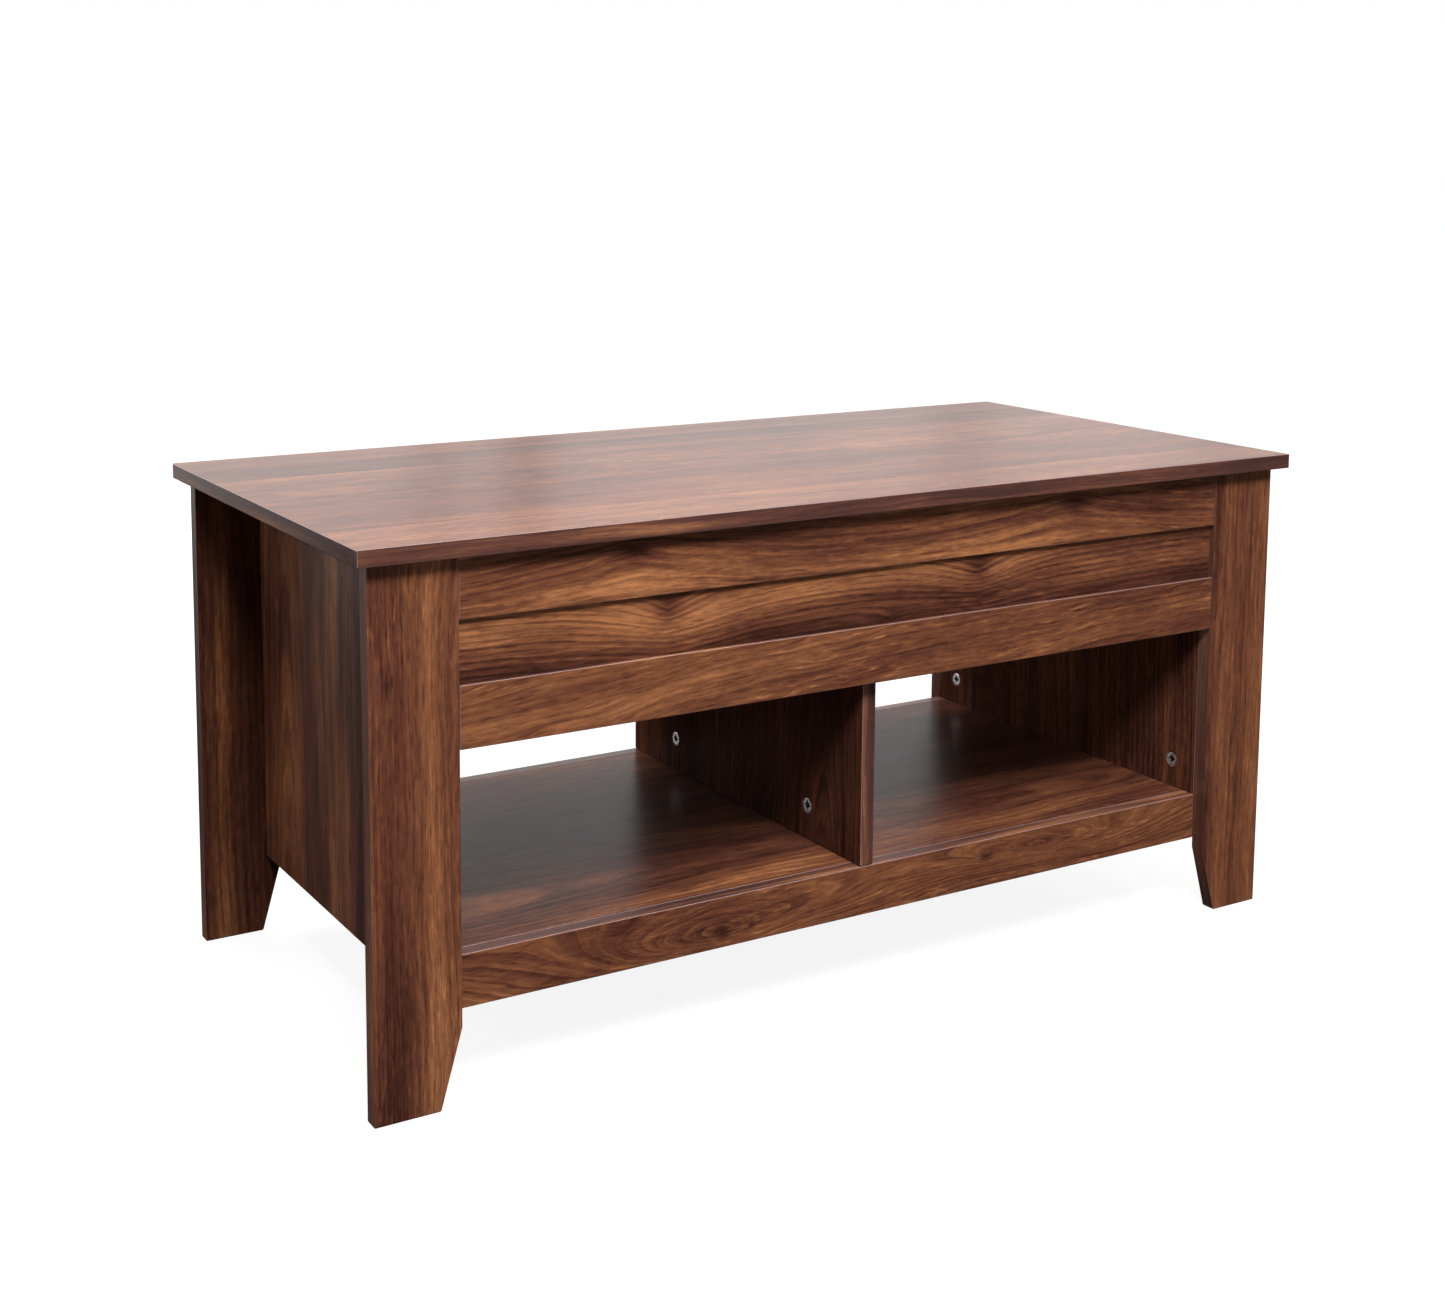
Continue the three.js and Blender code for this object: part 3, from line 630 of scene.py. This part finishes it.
# What walnut is given for each board.
FIGURES = {
    "tabletop": dict(
        grain=FLAT, seed=11.0, tone=0.01, pith=(20, 90, 0.01), lines=0.1, contrast=0.6, gloss=0.18,
        specular=0.24, relief=0.1, flecks=0.5, edge_tone=-0.07,
        planks=((-170, -0.06), (-23, 0.02), (113, -0.11), (187, 0.07)),
    ),
    "upper_front_rail": dict(
        grain=RAIL, seed=2.0, tone=0.06, pith=(-70, 30, 0.02), wave=0.6, flecks=1.3,
        bands=((-18, 8, 0.07), (14, 10, -0.05)),
        knots=(
            (-262, 14, 105, 42, -24, 0), (-262, 12, 28, 17, 0, 0.30),
            (237, 12, 150, 42, -22, 0), (237, 8, 24, 17, 0, 0.28),
        ),
    ),
    "front_infill_panel": dict(
        grain=RAIL, seed=7.5, tone=0.01, pith=(-90, 20, 0.0), spacing=5.5, lines=0.38, wave=0.35, flecks=1.2,
        bands=((12, 13, 0.10), (-25, 12, -0.25)),
        knots=(
            (-226, 12, 62, 44, 26, 0), (-226, 14, 26, 22, 0, 0.34),
            (120, 12, 62, 44, 26, 0), (120, 14, 24, 22, 0, 0.34),
            (17, -22, 26, 10, 9, 0.10),
        ),
    ),
    "lower_front_rail": dict(
        grain=RAIL, seed=4.4, tone=0.04, pith=(-90, 30, 0.03), lines=0.22, contrast=0.7, slope=-0.09,
        flecks=1.5, bands=((-46, 10, -0.12),),
    ),
    "front_bottom_rail": dict(
        grain=RAIL, seed=9.1, tone=0.10, pith=(-60, 22, 0.02), lines=0.36, contrast=0.7, wave=1.2, flecks=1.5,
        knots=(
            (-170, -3, 190, 30, 84, 0), (-162, -2, 15, 10, 0, 0.30), (-130, -2, 6, 5, 0, 0.26),
            (146, -1, 11, 8, 10, 0.26), (215, 1, 190, 30, 66, 0),
        ),
    ),
    "rear_bottom_rail": dict(grain=RAIL, seed=14.2, pith=(70, 40, 0.03), contrast=0.8),
    "rear_panel": dict(
        grain=RAIL, seed=17.7, pith=(-90, 30, 0.05), contrast=0.9, lines=0.35,
        knots=((-180, 20, 24, 18, 16, 0.3), (40, 10, 190, 26, 34, 0), (250, -25, 22, 16, 14, 0.3)),
    ),
    "storage_floor": dict(grain=FLAT, seed=21.3, pith=(150, 60, 0.02), contrast=0.8),
    "lower_shelf": dict(
        grain=FLAT, seed=23.9, tone=-0.07, pith=(-120, 50, 0.02), lines=0.35, specular=0.25, relief=0.4,
    ),
    "left_side_panel": dict(
        grain=SIDE, seed=26.2, tone=-0.03, pith=(150, 50, 0.05), contrast=1.4, wave=0.5,
        bands=(
            (-212, 16, -0.12), (-164, 13, 0.24), (-127, 10, -0.26), (-97, 9, 0.20), (-54, 22, -0.22),
            (14, 14, 0.20), (80, 26, -0.16),
        ),
    ),
    "right_side_panel": dict(grain=SIDE, seed=28.8, tone=-0.06, pith=(120, 60, 0.05), shaded_side=-1),
    "bay_divider": dict(grain=SIDE, seed=31.4, tone=-0.10, pith=(-150, 50, 0.06), shaded_side=-1),
    "front_left_leg": dict(
        grain=LEG, seed=34.6, pith=(70, 20, 0.02), wave=0.5, contrast=0.6, flecks=1.6, lines=0.2,
        bands=((16, 15, 0.14), (-31, 13, -0.16)),
        knots=((137, -22, 20, 11, 7, 0.22),),
    ),
    "front_right_leg": dict(
        grain=LEG, seed=37.3, tone=0.02, pith=(90, 30, 0.03), contrast=0.5, wave=0.5, lines=0.15,
        bands=((-16, 12, 0.08), (-35, 5, -0.16)),
    ),
    "rear_left_leg": dict(
        grain=LEG, seed=41.9, tone=-0.06, pith=(-60, 30, 0.03), wave=0.5, contrast=0.7,
        bands=((-16, 10, 0.26),),
    ),
    "rear_right_leg": dict(grain=LEG, seed=44.5, pith=(-60, 30, 0.03)),
}


def dress_boards():
    for node, figure in FIGURES.items():
        dress(node, walnut(node, **figure), BOARD_EDGE)


# ---- Hardware ------------------------------------------------------------------------------------

CAM_HOLE_RADIUS = 3.2 * MM


def cam_alloy(name):
    """Cast alloy, with painted shade inside the driver hole, around the cam's own axis."""
    middle = middle_of(name)

    def shadow(tree):
        x, y, z = tree.split(tree.object_point())
        off_y = tree.less(y, middle.y)
        off_z = tree.less(z, middle.z)
        from_axis = tree.math("SQRT", tree.add_up(tree.times(off_y, off_y), tree.times(off_z, off_z)))
        return tree.span(from_axis, CAM_HOLE_RADIUS + 0.2 * MM, CAM_HOLE_RADIUS - 0.6 * MM)

    return bare_metal("cam_alloy_" + name, (0.70, 0.69, 0.67), (0.44, 0.43, 0.42), 0.42, 320.0, shadow)


def dress_hardware():
    steel = black_steel()
    zinc = bare_metal("zinc_steel", (0.66, 0.66, 0.64), (0.46, 0.46, 0.45), 0.32, 160.0)
    pads = rubber()
    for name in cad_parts:
        if name.endswith(("_bracket", "_arm")):
            dress(name, steel, STEEL_EDGE)
        elif "_rivet" in name or "_screw_" in name or name.endswith(("_anchor", "_pin")):
            dress(name, zinc, FASTENER_EDGE)
        elif "_cam_" in name:
            dress(name, cam_alloy(name), FASTENER_EDGE)
        elif name.endswith("_bumper"):
            dress(name, pads, FASTENER_EDGE)


# ---- Springs -------------------------------------------------------------------------------------

WIRE_RADIUS = 0.85 * MM
WIRE_SIDES = 8
TURN_STEPS = 18
COIL_TURNS = 58
COIL_NECK = 0.45            # the coil's radius where it meets a hook, as a share of its full radius
HOOK_STEPS = 14
HOOK_ARC = 300              # degrees
HOOK_RADIUS = 3.4 * MM
HOOK_STRETCH = 1.6          # how much longer a hook is on its coil's side of the pin
COIL_INSET = 15 * MM        # from an end of the spring's box to the coil


def spring_path(low, high, crank_pin, anchor):
    """The wire's centreline, along Y: a hook round the crank pin, the coil, and a hook round the anchor."""
    middle = (low + high) / 2
    coil_radius = (high.x - low.x) / 2 - WIRE_RADIUS
    start, end = low.y + COIL_INSET, high.y - COIL_INSET
    coil = []
    for step in range(COIL_TURNS * TURN_STEPS + 1):
        share = step / (COIL_TURNS * TURN_STEPS)
        angle = 2 * math.pi * COIL_TURNS * share
        # The last half turn at each end closes in towards the hook.
        half_turns_left = 2 * COIL_TURNS * min(share, 1 - share)
        radius = coil_radius * (COIL_NECK + (1 - COIL_NECK) * min(1.0, half_turns_left))
        coil.append(Vector((
            middle.x + radius * math.cos(angle),
            start + (end - start) * share,
            middle.z + radius * math.sin(angle),
        )))

    def hook(pin, outward):
        """An open loop around a pin that runs along X; outward is the side it goes round, 1 or -1 along Y."""
        points = []
        for step in range(HOOK_STEPS + 1):
            angle = math.radians(HOOK_ARC * (step / HOOK_STEPS - 0.5))
            reach = HOOK_RADIUS * math.cos(angle)
            if reach < 0:
                reach *= HOOK_STRETCH
            height = HOOK_RADIUS * math.sin(angle)
            points.append(Vector((middle.x, pin.y + outward * reach, pin.z + height)))
        return points

    return hook(crank_pin, -1) + coil + list(reversed(hook(anchor, 1)))


def tube(name, path, radius, sides):
    """A round wire along a path, with closed ends."""
    mesh = bmesh.new()
    rings = []
    normal = Vector((1, 0, 0))
    for index, point in enumerate(path):
        ahead = path[min(index + 1, len(path) - 1)] - path[max(index - 1, 0)]
        ahead.normalize()
        normal = normal - ahead * normal.dot(ahead)
        normal.normalize()
        other = ahead.cross(normal)
        ring = []
        for side in range(sides):
            angle = 2 * math.pi * side / sides
            ring.append(mesh.verts.new(point + radius * (math.cos(angle) * normal + math.sin(angle) * other)))
        rings.append(ring)
    for ring, following in zip(rings, rings[1:]):
        for side in range(sides):
            after = (side + 1) % sides
            mesh.faces.new((ring[side], ring[after], following[after], following[side]))
    mesh.faces.new(list(reversed(rings[0])))
    mesh.faces.new(rings[-1])
    bmesh.ops.recalc_face_normals(mesh, faces=mesh.faces)
    # The sides, with four corners each, are shaded smooth, and the two ends flat.
    for face in mesh.faces:
        face.smooth = len(face.verts) == 4
    data = bpy.data.meshes.new(name)
    mesh.to_mesh(data)
    mesh.free()
    piece = bpy.data.objects.new(name, data)
    bpy.context.scene.collection.objects.link(piece)
    return piece


def add_springs():
    wire = bare_metal("spring_steel", (0.42, 0.42, 0.43), (0.26, 0.26, 0.27), 0.28, 240.0)
    for side in ("left", "right"):
        node = f"{side}_lift_spring"
        crank_pin = middle_of(f"{side}_spring_crank_pin")
        anchor = middle_of(f"{side}_spring_anchor")
        path = spring_path(*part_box(node), crank_pin, anchor)
        piece = tube(f"{side}_coil_spring", path, WIRE_RADIUS, WIRE_SIDES)
        piece.data.materials.append(wire)
        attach(piece, "carcass")
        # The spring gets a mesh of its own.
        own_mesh(piece)
        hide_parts(node)


# ---- Scene ---------------------------------------------------------------------------------------

add_camera()
add_world()
add_floor()
add_area_light("key", (-0.6, -2.2, 2.8), (0, -0.2, 0.3), (2.0, 0.8), 160, in_gloss=False)
add_area_light("front_overhead", (0.8, -0.7, 2.9), (0.1, -0.1, 0.4), (2.6, 1.8), 62)
add_area_light("rear_overhead", (-0.3, 1.1, 3.0), (-0.1, 0.1, 0.4), (2.2, 1.6), 105)
add_area_light("left_fill", (-2.8, 0.3, 1.5), (-0.4, 0, 0.3), (1.5, 1.2), 26, in_gloss=False)
add_area_light("right_fill", (2.8, 0.3, 1.6), (0.4, 0, 0.3), (1.5, 1.2), 34, in_gloss=False)
# These two lie level with the table, so they light its upright faces and not the shelf in the bays.
add_area_light("front_level", (-0.2, -3.2, 0.6), (0, 0, 0.4), (1.2, 0.6), 20, in_gloss=False)
add_area_light("rear_level", (0.1, 3.2, 0.5), (0, 0, 0.4), (1.2, 0.6), 42, in_gloss=False)
dress_boards()
dress_hardware()
add_springs()

bpy.context.scene.view_settings.view_transform = "Standard"
